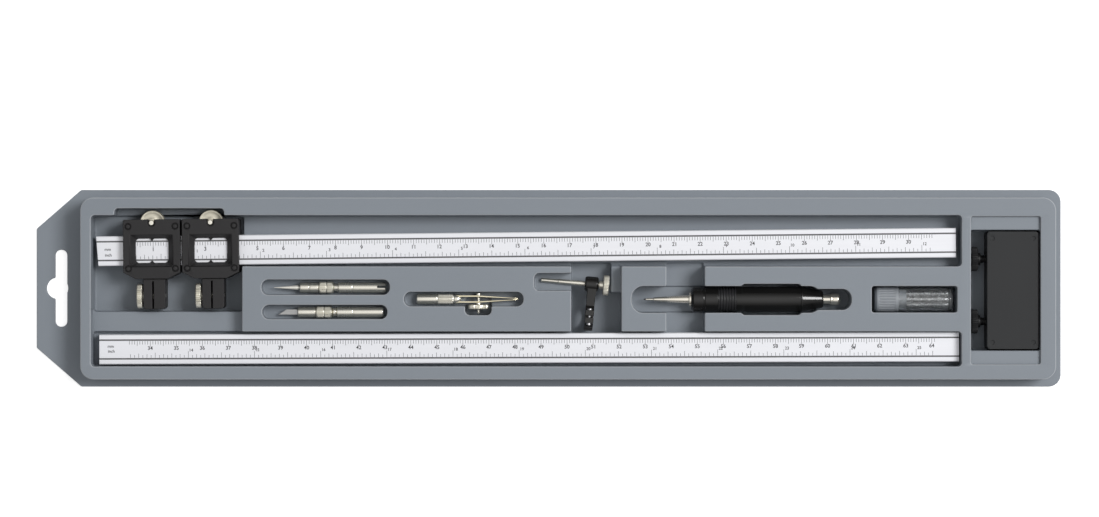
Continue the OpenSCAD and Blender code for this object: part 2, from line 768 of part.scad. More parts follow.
module adapter_pinch_screw() {
  color("#b9bcc0") adapter_frame()
    translate([ring_x + arm_t / 2, -ring_drop, ring_z + ring_d / 2 + 0.35]) rotate([90, 0, 0]) {
      cylinder(h = lug_w, r = 0.5, center = true);
      translate([0, 0, lug_w / 2]) cylinder(h = 0.7, r = 0.95);
      translate([0, 0, -lug_w / 2 - 0.5]) cylinder(h = 0.5, r = 0.95);
    }
}

module adapter_thumb_screw() {
  color("#dedccf") adapter_frame() {
    turned([[2.4, 1.1], [boss_l + 0.4, 1.1], [boss_l + 0.4, 1.5], [boss_l + 1.9, 1.5]]);
    knurled_disc(boss_l + 1.8, boss_l + 4.1, screw_d / 2, 36);
  }
}

// ---- mechanical pencil ----

module pencil_frame() {
  translate([left + pencil_x, pencil_y, pencil_z]) children();
}

module pencil_tip() {
  color("#c9cbcd") pencil_frame() difference() {
    turned([[0, 0.38], [3, 0.5], [3.2, 0.75], [cone_l - 2.5, 1.6], [cone_l - 1, 1.6], [cone_l - 0.8, 2.9],
            [cone_l, 2.9], [cone_l, barrel_bore], [cone_l + 2.4, barrel_bore]]);
    bore_x(0.3, -1, cone_l + 3);
  }
}

module pencil_barrel() {
  r = barrel_d / 2;
  color("#17171a") pencil_frame() difference() {
    turned([[cone_l, r - 0.9], [cone_l + 0.9, r], [grip_x, r], [grip_x, grip_core],
            [grip_x + grip_l, grip_core], [grip_x + grip_l, r], [rear_x, r]]);
    bore_x(barrel_bore, cone_l - 1, rear_x + 1);
  }
}

// soft sleeve with a row of ribs, set into the barrel
module pencil_grip() {
  r = barrel_d / 2;
  low = r - 0.35;
  step = (grip_l - 0.4) / ribs;
  edge = step * 0.18;
  color("#1e1e20") pencil_frame() difference() {
    turned(concat(
      [[grip_x, r], [grip_x + 0.2, r]],
      [for (i = [0:ribs - 1], p = [[0, low], [step * 0.4, low], [step * 0.4 + edge, r], [step - edge, r]])
        [grip_x + 0.2 + edge / 2 + i * step + p[0], p[1]]],
      [[grip_x + grip_l, r]]));
    bore_x(grip_core, grip_x - 1, rear_x);
  }
}

module pencil_rear() {
  color("#17171a") pencil_frame() difference() {
    turned([[rear_x, barrel_d / 2], [rear_x + 0.6, barrel_d / 2 - 0.1], [rear_end - 0.4, 3.3],
            [rear_end, 2.9]]);
    bore_x(button_r + turn, rear_x - 1, rear_end + 1);
  }
}

module pencil_button() {
  head = rear_end + button_travel + 0.3;
  color("#d2d4d6") pencil_frame()
    turned([[rear_x - 4, button_r], [head, button_r], [head, 2.3], [pencil_l - 0.8, 2.3],
            [pencil_l - 0.25, 2], [pencil_l, 1.3]]);
}

module pencil_clutch() {
  color("#b79a55") pencil_frame() difference() {
    turned([[clutch_x, 1], [clutch_x + 1, 1.6], [rear_x - 4, 1.6]]);
    bore_x(0.25, 0, lead_end);
  }
}

module pencil_lead() {
  color("#2b2b2d") pencil_frame() turned([[-0.8, 0.15], [-0.5, 0.25], [lead_end, 0.25]]);
}

// ---- lead tube ----

module tube_frame() {
  translate([left + tube_x, tube_y, tube_z]) children();
}

module tube_body() {
  r = tube_d / 2;
  color([0.85, 0.88, 0.9, 0.5]) tube_frame() difference() {
    turned([[cap_l, r], [tube_l - 0.8, r], [tube_l, r - 0.8]]);
    bore_x(r - tube_wall, cap_l - 1, tube_l - 1.2);
  }
}

// ribbed cap with a plug that fits the tube's mouth
module tube_cap() {
  r = tube_d / 2 + 0.15;
  teeth = 24;
  color("#c9ccd0") tube_frame() {
    difference() {
      turned([[0, r - 0.8], [0.8, r], [cap_l - 0.1, r]]);
      for (i = [0:teeth - 1]) rotate([i * 360 / teeth, 0, 0])
        translate([1.6, 0, r]) rotate([0, 90, 0]) cylinder(h = cap_l - 3.2, r = 0.22);
    }
    turned([[cap_l - 0.5, tube_d / 2 - tube_wall - turn], [cap_l + 3, tube_d / 2 - tube_wall - turn]]);
  }
}

// leads lying in the bottom of the tube: a row of three, and three more on them
module spare_leads() {
  room = tube_d / 2 - tube_wall - lead_d / 2 - 0.05;
  step = 2 * asin((lead_d + 0.04) / 2 / room);
  high = lead_d * 1.03;
  color("#343437") tube_frame() {
    for (a = [-step, 0, step])
      translate([cap_l + 3.4, room * sin(a), -room * cos(a)]) bore_x(lead_d / 2, 0, 16);
    translate([cap_l + 3.4, 0, high - room]) bore_x(lead_d / 2, 0, 16);
    for (side = [-1, 1])
      translate([cap_l + 3.4, side * high, high - room * cos(step)]) bore_x(lead_d / 2, 0, 16);
  }
}

tray();
upper_beam();
lower_beam();
at_head(head_a_x) head_front();  // head_a_front
at_head(head_a_x) head_back();  // head_a_back
at_head(head_a_x) head_screws();  // head_a_screws
at_head(head_a_x) head_shoe();  // head_a_shoe
at_head(head_a_x) head_spring();  // head_a_spring
at_head(head_a_x) roller();  // roller_a
at_head(head_a_x) axle();  // axle_a
at_head(head_a_x) clamp_screw();  // clamp_screw_a
at_head(head_b_x) head_front();  // head_b_front
at_head(head_b_x) head_back();  // head_b_back
at_head(head_b_x) head_screws();  // head_b_screws
at_head(head_b_x) head_shoe();  // head_b_shoe
at_head(head_b_x) head_spring();  // head_b_spring
at_head(head_b_x) roller();  // roller_b
at_head(head_b_x) axle();  // axle_b
at_head(head_b_x) clamp_screw();  // clamp_screw_b
coupler_base();
coupler_cover();
coupler_screws();
coupler_gib();
coupler_knob(knob_pitch / 2);  // coupler_knob_1
coupler_knob(-knob_pitch / 2);  // coupler_knob_2
needle_shank();
needle_point();
needle_collar();
knife_shank();
knife_blade();
knife_collar();
pen_handle();
pen_blade_with_hole(1);  // pen_blade_left
pen_blade_with_hole(-1);  // pen_blade_right
pen_screw();
pen_nut();
adapter_rod();
adapter_holder();
adapter_pinch_screw();
adapter_thumb_screw();
pencil_tip();
pencil_barrel();
pencil_grip();
pencil_rear();
pencil_button();
pencil_clutch();
pencil_lead();
tube_body();
tube_cap();
spare_leads();
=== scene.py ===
"""Beam compass set in its moulded tray: the looks of the part, piece by piece."""

import json
import math

import bmesh
import bpy
import numpy as np
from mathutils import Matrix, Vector


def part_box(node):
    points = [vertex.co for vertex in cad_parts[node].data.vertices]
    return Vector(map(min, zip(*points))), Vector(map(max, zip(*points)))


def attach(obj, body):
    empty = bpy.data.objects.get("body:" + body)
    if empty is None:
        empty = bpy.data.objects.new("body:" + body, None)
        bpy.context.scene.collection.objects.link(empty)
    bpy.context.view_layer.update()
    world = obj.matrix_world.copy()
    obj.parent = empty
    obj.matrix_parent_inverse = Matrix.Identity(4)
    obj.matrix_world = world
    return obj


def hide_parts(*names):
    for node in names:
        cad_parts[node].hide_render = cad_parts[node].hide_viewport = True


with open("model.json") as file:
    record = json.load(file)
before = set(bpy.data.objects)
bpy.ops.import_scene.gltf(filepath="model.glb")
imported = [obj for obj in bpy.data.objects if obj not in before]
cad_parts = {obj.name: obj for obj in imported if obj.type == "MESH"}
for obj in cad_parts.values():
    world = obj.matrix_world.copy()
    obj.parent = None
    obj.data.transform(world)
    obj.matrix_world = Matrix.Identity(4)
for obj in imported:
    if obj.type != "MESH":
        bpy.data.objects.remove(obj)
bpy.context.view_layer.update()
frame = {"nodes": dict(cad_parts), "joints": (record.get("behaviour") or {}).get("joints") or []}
bpy.context.scene.view_settings.view_transform = "Standard"
nodes = frame["nodes"]
joints = {joint["name"]: joint for joint in frame["joints"]}
mm = 0.001

# ---------------------------------------------------------------- tray
# One sheet of grey plastic, formed so that every piece has its own pocket. The walls lean
# outwards so that the sheet leaves its mould, and every edge is rounded by the forming.

wall_lean = math.radians(1.0)
tray_rounding = 0.42 * mm
tray_grey = (0.215, 0.240, 0.270)
tray_pale = (0.245, 0.271, 0.303)
tray_edge_highlight = (0.56, 0.58, 0.60)   # painted highlight on the sheet's rounded top edges


def merged_copy(name, *node_names):
    """New piece with the CAD nodes' own triangles, joined at their shared points, its flat
    faces cut anew into well-shaped triangles."""
    work = bmesh.new()
    for node_name in node_names:
        work.from_mesh(nodes[node_name].data)
    bmesh.ops.remove_doubles(work, verts=work.verts, dist=2e-6)
    bmesh.ops.dissolve_limit(
        work, angle_limit=math.radians(0.4), verts=work.verts, edges=work.edges
    )
    bmesh.ops.triangulate(work, faces=work.faces[:], quad_method="BEAUTY", ngon_method="BEAUTY")
    mesh = bpy.data.meshes.new(name)
    work.to_mesh(mesh)
    work.free()
    piece = bpy.data.objects.new(name, mesh)
    bpy.context.collection.objects.link(piece)
    return piece


def round_edges(piece, width, steps=3, sharper_than=30):
    """Every edge that turns by more than the given degrees gets a round of that width."""
    rounding = piece.modifiers.new("rounding", "BEVEL")
    rounding.width = width
    rounding.segments = steps
    rounding.limit_method = "ANGLE"
    rounding.angle_limit = math.radians(sharper_than)
    rounding.use_clamp_overlap = False
    rounding.loop_slide = False
    rounding.harden_normals = True
    evening = piece.modifiers.new("large faces lead the shading", "WEIGHTED_NORMAL")
    evening.mode = "FACE_AREA"
    evening.weight = 80
    piece.data.polygons.foreach_set("use_smooth", np.ones(len(piece.data.polygons), bool))


def lean_walls(piece, lean):
    """Moves each point of an upright wall sideways by the depth below the tray's top times
    the tangent of the lean, square to all the walls that meet there. The walls seen from
    above move into their pockets, and the underside of the same wall moves with them."""
    mesh = piece.data
    count = len(mesh.vertices)
    points = np.empty(count * 3)
    mesh.vertices.foreach_get("co", points)
    points = points.reshape(-1, 3)
    top = points[:, 2].max()
    normals = np.empty(len(mesh.polygons) * 3)
    mesh.polygons.foreach_get("normal", normals)
    normals = normals.reshape(-1, 3)
    corners = np.empty(len(mesh.loops), int)
    mesh.loops.foreach_get("vertex_index", corners)
    sizes = np.empty(len(mesh.polygons), int)
    mesh.polygons.foreach_get("loop_total", sizes)
    face_of = np.repeat(np.arange(len(mesh.polygons)), sizes)
    # the sheet's thickness at its lowest place is the flange's, whose edges stay upright
    flange_top = 1.3 * mm
    highest = np.full(len(mesh.polygons), -1.0)
    np.maximum.at(highest, face_of, points[corners, 2])
    upright = (np.abs(normals[face_of, 2]) < 0.01) & (highest[face_of] > flange_top)
    side = np.zeros(count)
    np.add.at(side, corners, np.where(np.abs(normals[face_of, 2]) > 0.9, normals[face_of, 2], 0))
    shift = np.sign(side) * math.tan(lean) * (top - points[:, 2])
    across = normals[face_of[upright], :2]
    at = corners[upright]
    matrix = np.zeros((count, 2, 2))
    target = np.zeros((count, 2))
    np.add.at(matrix, at, across[:, :, None] * across[:, None, :])
    np.add.at(target, at, across * shift[at][:, None])
    move = np.einsum("nij,nj->ni", np.linalg.pinv(matrix, rcond=0.02, hermitian=True), target)
    points[:, :2] += move
    mesh.vertices.foreach_set("co", points.ravel())
    mesh.update()


def add_socket(group, name, kind, way="INPUT", value=None):
    """Named socket of a node group, with its starting value."""
    socket = group.interface.new_socket(name=name, in_out=way, socket_type="NodeSocket" + kind)
    if value is not None:
        socket.default_value = value


def link(tree, source, target):
    tree.links.new(source, target)


# Grain of a moulded or plated surface: large soft patches, a fine speckle, and a height.
grain_group = bpy.data.node_groups.new("surface grain", "ShaderNodeTree")
for name, value in (("Patch size", 60.0), ("Speckle size", 2500.0), ("Patch share", 0.5)):
    add_socket(grain_group, name, "Float", value=value)
add_socket(grain_group, "Dark colour", "Color", value=(0.2, 0.2, 0.2, 1))
add_socket(grain_group, "Light colour", "Color", value=(0.3, 0.3, 0.3, 1))
add_socket(grain_group, "Roughness low", "Float", value=0.4)
add_socket(grain_group, "Roughness high", "Float", value=0.6)
add_socket(grain_group, "Along", "Vector", value=(1, 1, 1))
for name, kind in (("Color", "Color"), ("Roughness", "Float"), ("Height", "Float")):
    add_socket(grain_group, name, kind, way="OUTPUT")
grain_in = grain_group.nodes.new("NodeGroupInput")
grain_out = grain_group.nodes.new("NodeGroupOutput")
grain_place = grain_group.nodes.new("ShaderNodeTexCoord")
grain_stretch = grain_group.nodes.new("ShaderNodeVectorMath")
grain_stretch.operation = "MULTIPLY"
patches = grain_group.nodes.new("ShaderNodeTexNoise")
patches.inputs["Detail"].default_value = 3
speckle = grain_group.nodes.new("ShaderNodeTexNoise")
speckle.inputs["Detail"].default_value = 5
speckle.inputs["Roughness"].default_value = 0.6
share = grain_group.nodes.new("ShaderNodeMix")
tint = grain_group.nodes.new("ShaderNodeMix")
tint.data_type = "RGBA"
tint.clamp_factor = True
rough = grain_group.nodes.new("ShaderNodeMapRange")
link(grain_group, grain_place.outputs["Object"], grain_stretch.inputs[0])
link(grain_group, grain_in.outputs["Along"], grain_stretch.inputs[1])
link(grain_group, grain_stretch.outputs[0], patches.inputs["Vector"])
link(grain_group, grain_stretch.outputs[0], speckle.inputs["Vector"])
link(grain_group, grain_in.outputs["Patch size"], patches.inputs["Scale"])
link(grain_group, grain_in.outputs["Speckle size"], speckle.inputs["Scale"])
link(grain_group, grain_in.outputs["Patch share"], share.inputs["Factor"])
link(grain_group, speckle.outputs["Fac"], share.inputs["A"])
link(grain_group, patches.outputs["Fac"], share.inputs["B"])
link(grain_group, share.outputs["Result"], tint.inputs["Factor"])
link(grain_group, grain_in.outputs["Dark colour"], tint.inputs["A"])
link(grain_group, grain_in.outputs["Light colour"], tint.inputs["B"])
link(grain_group, tint.outputs["Result"], grain_out.inputs["Color"])
link(grain_group, share.outputs["Result"], rough.inputs["Value"])
link(grain_group, grain_in.outputs["Roughness low"], rough.inputs["To Min"])
link(grain_group, grain_in.outputs["Roughness high"], rough.inputs["To Max"])
rough.inputs["From Min"].default_value = 0.3
rough.inputs["From Max"].default_value = 0.7
link(grain_group, rough.outputs["Result"], grain_out.inputs["Roughness"])
link(grain_group, speckle.outputs["Fac"], grain_out.inputs["Height"])


def finish(name, dark, light, roughness, patch=60, speckle=2500, share=0.5, along=(1, 1, 1),
           bump=0.1, depth=0.02 * mm, metal=0.0, specular=0.5, coat=0.0):
    """Material of one shader fed by the grain group: two tones, two roughnesses and a bump."""
    material = bpy.data.materials.new(name)
    material.use_nodes = True
    tree = material.node_tree
    shader = tree.nodes["Principled BSDF"]
    grain = tree.nodes.new("ShaderNodeGroup")
    grain.node_tree = grain_group
    grain.inputs["Patch size"].default_value = patch
    grain.inputs["Speckle size"].default_value = speckle
    grain.inputs["Patch share"].default_value = share
    grain.inputs["Dark colour"].default_value = (*dark[:3], 1)
    grain.inputs["Light colour"].default_value = (*light[:3], 1)
    grain.inputs["Roughness low"].default_value = roughness[0]
    grain.inputs["Roughness high"].default_value = roughness[1]
    grain.inputs["Along"].default_value = along
    relief = tree.nodes.new("ShaderNodeBump")
    relief.inputs["Strength"].default_value = bump
    relief.inputs["Distance"].default_value = depth
    shader.inputs["Metallic"].default_value = metal
    shader.inputs["Specular IOR Level"].default_value = specular
    shader.inputs["Coat Weight"].default_value = coat
    shader.inputs["Coat Roughness"].default_value = 0.08
    link(tree, grain.outputs["Color"], shader.inputs["Base Color"])
    link(tree, grain.outputs["Roughness"], shader.inputs["Roughness"])
    link(tree, grain.outputs["Height"], relief.inputs["Height"])
    link(tree, relief.outputs["Normal"], shader.inputs["Normal"])
    return material


def dress(piece, material, body=None, slot=None, *replaced):
    """Gives a piece its material and, where it is new, its body, and hides the CAD nodes that it replaces.
    The slot is not used.
    """
    piece.data.materials.clear()
    piece.data.materials.append(material)
    if body:
        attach(piece, body)
    if replaced:
        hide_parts(*replaced)


tray_sheet = merged_copy("tray_sheet", "tray")
lean_walls(tray_sheet, wall_lean)
round_edges(tray_sheet, tray_rounding)
tray_finish = finish("tray sheet", tray_grey, tray_pale, (0.42, 0.6), patch=28, speckle=2600,
                     share=0.7, bump=0.25, depth=0.03 * mm, specular=0.4)
dress(tray_sheet, tray_finish, "tray", "tray_plastic", "tray")

# A painted highlight makes the sheet paler on its rounded top edges: there the normal's height n is neither
# 1 nor 0, and 4 n (1 - n) is the strength of the painted highlight, faded out below the rim.
edge_highlight_group = bpy.data.node_groups.new("painted edge highlight", "ShaderNodeTree")
for name, value in (("Rim height", 0.0138), ("Fade depth", 0.0008)):
    add_socket(edge_highlight_group, name, "Float", value=value)
add_socket(edge_highlight_group, "Mask", "Float", way="OUTPUT")
edge_in = edge_highlight_group.nodes.new("NodeGroupInput")
edge_out = edge_highlight_group.nodes.new("NodeGroupOutput")
edge_normal = edge_highlight_group.nodes.new("ShaderNodeNewGeometry")
edge_place = edge_highlight_group.nodes.new("ShaderNodeTexCoord")
edge_slope = edge_highlight_group.nodes.new("ShaderNodeSeparateXYZ")
edge_height = edge_highlight_group.nodes.new("ShaderNodeSeparateXYZ")
link(edge_highlight_group, edge_normal.outputs["Normal"], edge_slope.inputs[0])
link(edge_highlight_group, edge_place.outputs["Object"], edge_height.inputs[0])


def math_node(tree, operation, *values):
    """One maths node: each value is a number or the socket that feeds it."""
    made = tree.nodes.new("ShaderNodeMath")
    made.operation = operation
    for k, value in enumerate(values):
        if isinstance(value, (int, float)):
            made.inputs[k].default_value = value
        else:
            link(tree, value, made.inputs[k])
    return made.outputs[0]


edge_level = math_node(edge_highlight_group, "SUBTRACT", edge_height.outputs["Z"],
                       edge_in.outputs["Rim height"])
edge_fade = math_node(edge_highlight_group, "DIVIDE", edge_level, edge_in.outputs["Fade depth"])
edge_near = math_node(edge_highlight_group, "MINIMUM", math_node(edge_highlight_group, "MAXIMUM", edge_fade, 0.0), 1.0)
edge_rest = math_node(edge_highlight_group, "SUBTRACT", 1.0, edge_slope.outputs["Z"])
edge_product = math_node(edge_highlight_group, "MULTIPLY", edge_slope.outputs["Z"], edge_rest)
edge_bend = math_node(edge_highlight_group, "MULTIPLY", edge_product, 4.0)
link(edge_highlight_group, math_node(edge_highlight_group, "MULTIPLY", edge_bend, edge_near), edge_out.inputs["Mask"])


def tinted(material, mask, colour, amount):
    """Feeds the shader's colour through a mix towards another colour, by mask times amount."""
    tree = material.node_tree
    shader = tree.nodes["Principled BSDF"]
    before = shader.inputs["Base Color"].links[0].from_socket
    mix = tree.nodes.new("ShaderNodeMix")
    mix.data_type = "RGBA"
    mix.clamp_factor = True
    link(tree, math_node(tree, "MULTIPLY", mask, amount), mix.inputs["Factor"])
    link(tree, before, mix.inputs["A"])
    mix.inputs["B"].default_value = (*colour, 1)
    link(tree, mix.outputs["Result"], shader.inputs["Base Color"])


# the painted edge highlight is mixed into the tray sheet's colour
edge_highlight_use = tray_finish.node_tree.nodes.new("ShaderNodeGroup")
edge_highlight_use.node_tree = edge_highlight_group
tinted(tray_finish, edge_highlight_use.outputs["Mask"], tray_edge_highlight, 0.9)

# ---------------------------------------------------------------- beams
# Two lengths of one aluminium extrusion, drawn bright and satin anodised. The scales are
# engraved and filled: millimetres hang from the upper groove, inches stand on the lower.

beam_finish = finish("satin aluminium", (0.79, 0.795, 0.83), (0.88, 0.885, 0.92), (0.3, 0.42),
                     patch=30, speckle=900, share=0.35, along=(0.04, 1, 1), bump=0.06,
                     depth=0.01 * mm, metal=0.15)
dress(nodes["upper_beam"], beam_finish)
dress(nodes["lower_beam"], beam_finish)

# Painted shade darkens the floors of the two grooves: faces that look up from below the beam's top.
beam_tree = beam_finish.node_tree
beam_place = beam_tree.nodes.new("ShaderNodeTexCoord")
beam_height = beam_tree.nodes.new("ShaderNodeSeparateXYZ")
beam_normal = beam_tree.nodes.new("ShaderNodeNewGeometry")
beam_slope = beam_tree.nodes.new("ShaderNodeSeparateXYZ")
link(beam_tree, beam_place.outputs["Object"], beam_height.inputs[0])
link(beam_tree, beam_normal.outputs["True Normal"], beam_slope.inputs[0])
beam_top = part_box("upper_beam")[1].z
groove_below = math_node(beam_tree, "LESS_THAN", beam_height.outputs["Z"], beam_top - 0.05 * mm)
groove_up = math_node(beam_tree, "GREATER_THAN", beam_slope.outputs["Z"], 0.9)
# colour of the painted shade in the groove floors
groove_painted_shade = (0.06, 0.06, 0.062)
groove_shade_floors = math_node(beam_tree, "MULTIPLY", groove_below, groove_up)
tinted(beam_finish, groove_shade_floors, groove_painted_shade, 0.92)

ink_finish = finish("scale ink", (0.012, 0.012, 0.014), (0.03, 0.03, 0.033), (0.5, 0.7))
ink_height = 0.02 * mm
digit_height = 1.45 * mm
line_width = 0.13 * mm
upper_groove = 3.25 * mm   # where the millimetre lines start, across the beam
lower_groove = -3.25 * mm
beam_half = 165 * mm
inch = 25.4 * mm
beside_line = 1.2 * mm     # an inch number stands at the right of its line
small_print = 0.8          # of the centimetre numbers' height


def flat_lines(place, start, end, width):
    """Rectangles on the beam: each line stands at one place along it, from start to end
    across it, as two rows of corners, the lower on the metal and the upper at ink height."""
    place, start, end = np.broadcast_arrays(place, start, end)
    half = width / 2
    x = np.stack([place - half, place + half, place + half, place - half], 1)
    y = np.stack([start, start, end, end], 1)
    low = np.stack([x, y, np.zeros_like(x)], 2)
    high = low + (0, 0, ink_height)
    points = np.concatenate([low, high], 1).reshape(-1, 3)
    one = np.array([[4, 5, 6, 7], [3, 2, 1, 0], [0, 1, 5, 4], [1, 2, 6, 5], [2, 3, 7, 6], [3, 0, 4, 7]])
    faces = (one[None] + 8 * np.arange(len(place))[:, None, None]).reshape(-1, 4)
    return points, [tuple(face) for face in faces.tolist()]


def letter_shape(word, height):
    """Points and faces of one raised word of that height, centred on its own origin."""
    curve = bpy.data.curves.new(word, "FONT")
    curve.body = word
    curve.resolution_u = 3
    curve.offset = 0.016   # bolder strokes than the face has by itself
    writer = bpy.data.objects.new(word, curve)
    bpy.context.collection.objects.link(writer)
    shown = writer.evaluated_get(bpy.context.evaluated_depsgraph_get())
    mesh = bpy.data.meshes.new_from_object(shown)
    bpy.data.objects.remove(writer)
    points = np.empty(len(mesh.vertices) * 3)
    mesh.vertices.foreach_get("co", points)
    points = points.reshape(-1, 3)
    capital = 0.729   # height of a digit in the built-in face, at size 1
    centre = np.array([(points[:, 0].min() + points[:, 0].max()) / 2, capital / 2, 0])
    points = (points - centre) * height / capital
    points[:, 2] = ink_height
    return points, [tuple(polygon.vertices) for polygon in mesh.polygons]


shapes = {}


def number_shapes(numbers, places, across, height):
    """Raised numbers, one at each place along the beam."""
    parts = []
    for number, place in zip(numbers, places):
        key = (number, height)
        if key not in shapes:
            shapes[key] = letter_shape(str(number), height)
        points, faces = shapes[key]
        parts.append((points + (place, across, 0), faces))
    return parts


def joined(parts):
    """One list of points and one of faces from many."""
    points, faces, first = [], [], 0
    for some_points, some_faces in parts:
        points.append(some_points)
        faces += [tuple(corner + first for corner in face) for face in some_faces]
        first += len(some_points)
    return np.concatenate(points), faces


def new_piece(name, points, faces, smooth=True, crease=35):
    """Mesh object from whole arrays, smooth apart from its creases."""
    mesh = bpy.data.meshes.new(name)
    mesh.from_pydata(points.tolist(), [], faces)
    mesh.validate()
    piece = bpy.data.objects.new(name, mesh)
    bpy.context.collection.objects.link(piece)
    if smooth:
        mesh.polygons.foreach_set("use_smooth", np.ones(len(mesh.polygons), bool))
        mesh.set_sharp_from_angle(angle=math.radians(crease))
    return piece


def on_beam(points, node, tilt):
    """Points laid out along a beam, turned by its tilt and set on its top face."""
    low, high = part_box(node)
    turned_x = points[:, 0] * math.cos(tilt) - points[:, 1] * math.sin(tilt)
    turned_y = points[:, 0] * math.sin(tilt) + points[:, 1] * math.cos(tilt)
    return np.stack([turned_x + (low.x + high.x) / 2, turned_y + (low.y + high.y) / 2,
                     points[:, 2] + high.z], 1)


def scale_marks(name, node, body, tilt, cm_from, first_mm, last_mm, inch_from, first_inch16,
                last_inch16, names):
    """Both scales of one beam. cm_from and inch_from are (number, its place along the beam)."""
    parts = []
    whole = np.arange(first_mm, last_mm + 1)
    place = cm_from[1] + (whole - 10 * cm_from[0]) * mm
    length = np.where(whole % 10 == 0, 2.3, np.where(whole % 5 == 0, 1.9, 1.35)) * mm
    parts.append(flat_lines(place, upper_groove - length, upper_groove, line_width))
    sixteenths = np.arange(first_inch16, last_inch16 + 1)
    spot = inch_from[1] + (sixteenths - 16 * inch_from[0]) * inch / 16
    reach = np.select(
        [sixteenths % 16 == 0, sixteenths % 8 == 0, sixteenths % 4 == 0, sixteenths % 2 == 0],
        [2.5, 2.0, 1.7, 1.4], 1.05) * mm
    parts.append(flat_lines(spot, lower_groove, lower_groove + reach, line_width))
    tens = range(math.ceil(first_mm / 10), last_mm // 10 + 1)
    ten_places = [cm_from[1] + (n - cm_from[0]) * 10 * mm for n in tens]
    parts += number_shapes(tens, ten_places, 0.55 * mm, digit_height)
    inches = range(math.ceil(first_inch16 / 16), last_inch16 // 16 + 1)
    inch_places = [inch_from[1] + (n - inch_from[0]) * inch + beside_line for n in inches]
    parts += number_shapes(inches, inch_places, -0.25 * mm, digit_height * small_print)
    for word, along_beam, across in names:
        points, faces = letter_shape(word, digit_height * small_print)
        parts.append((points + (along_beam - beam_half, across, 0), faces))
    points, faces = joined(parts)
    marks = new_piece(name, on_beam(points, node, tilt), faces, smooth=False)
    dress(marks, ink_finish, body, "beam_aluminium")


upper_tilt = math.radians(0.57)
lower_tilt = math.radians(0.19)
scale_marks("upper_scale", "upper_beam", "upper_beam", upper_tilt, (0, -153.15 * mm), 0, 309,
            (0, -152.85 * mm), 0, 194, [("mm", 4.4 * mm, 0.7 * mm), ("inch", 4.6 * mm, -1.5 * mm)])
scale_marks("lower_scale", "lower_beam", "lower_beam", lower_tilt, (34, -145.45 * mm), 332, 641,
            (14, -130.85 * mm), 210, 404, [("mm", 4.4 * mm, 1.3 * mm), ("inch", 4.6 * mm, -0.6 * mm)])

# ---------------------------------------------------------------- heads
# Each sliding head is two graphite-grey mouldings screwed together round the beam. A sloped
# rim leads the eye to the window, whose two points are the index for the scales.

head_finish = finish("graphite moulding", (0.018, 0.017, 0.018), (0.032, 0.031, 0.032), (0.42, 0.58),
                     patch=90, speckle=3800, share=0.35, bump=0.25, depth=0.03 * mm, specular=0.25)
shell_rounding = 0.22 * mm
for head in "ab":
    for shell in ("front", "back"):
        moulding = merged_copy(f"head_{head}_{shell}_shell", f"head_{head}_{shell}")
        round_edges(moulding, shell_rounding)
        dress(moulding, head_finish, f"head_{head}", "head_plastic", f"head_{head}_{shell}")

# Inside a head a nylon shoe presses on the beam, pushed by a bowed leaf spring.
steel_finish = finish("plain steel", (0.42, 0.42, 0.43), (0.6, 0.6, 0.61), (0.25, 0.4), patch=200,
                      speckle=1500, along=(1, 1, 0.2), bump=0.1, metal=1.0)
nylon_finish = finish("nylon", (0.56, 0.5, 0.34), (0.66, 0.6, 0.42), (0.4, 0.55), specular=0.5)
for head in "ab":
    dress(nodes[f"head_{head}_shoe"], nylon_finish)
    dress(nodes[f"head_{head}_spring"], steel_finish)
    dress(nodes[f"head_{head}_screws"], steel_finish)


# ---------------------------------------------------------------- rollers and clamp screws
# Turned brass, nickel plated. A knurled roller drives each head along its beam, on a plain
# axle that shows in a notch, and a knurled nut closes the split clamp on an insert.

def eased(profile, radius, steps=3):
    """Profile of (place, radius, groove) rows in millimetres with each corner replaced by a
    short curve: the parabola that touches both sides at the given distance from the corner."""
    rows = np.array(profile, float)
    made = [rows[:1]]
    for before, corner, after in zip(rows[:-2], rows[1:-1], rows[2:]):
        back, on = before - corner, after - corner
        near = corner + back * min(0.5, radius / max(np.hypot(*back[:2]), 1e-9))
        far = corner + on * min(0.5, radius / max(np.hypot(*on[:2]), 1e-9))
        t = np.linspace(0, 1, steps + 1)[:, None]
        made.append((1 - t) ** 2 * near + 2 * t * (1 - t) * corner + t**2 * far)
    made.append(rows[-1:])
    return np.concatenate(made)


def threaded(start, end, radius, depth, pitch):
    """Rows of a screw thread: six rings to a turn, each marked with the thread's depth."""
    place = np.arange(start, end, pitch / 6)
    return [(x, radius, 0, depth) for x in place]


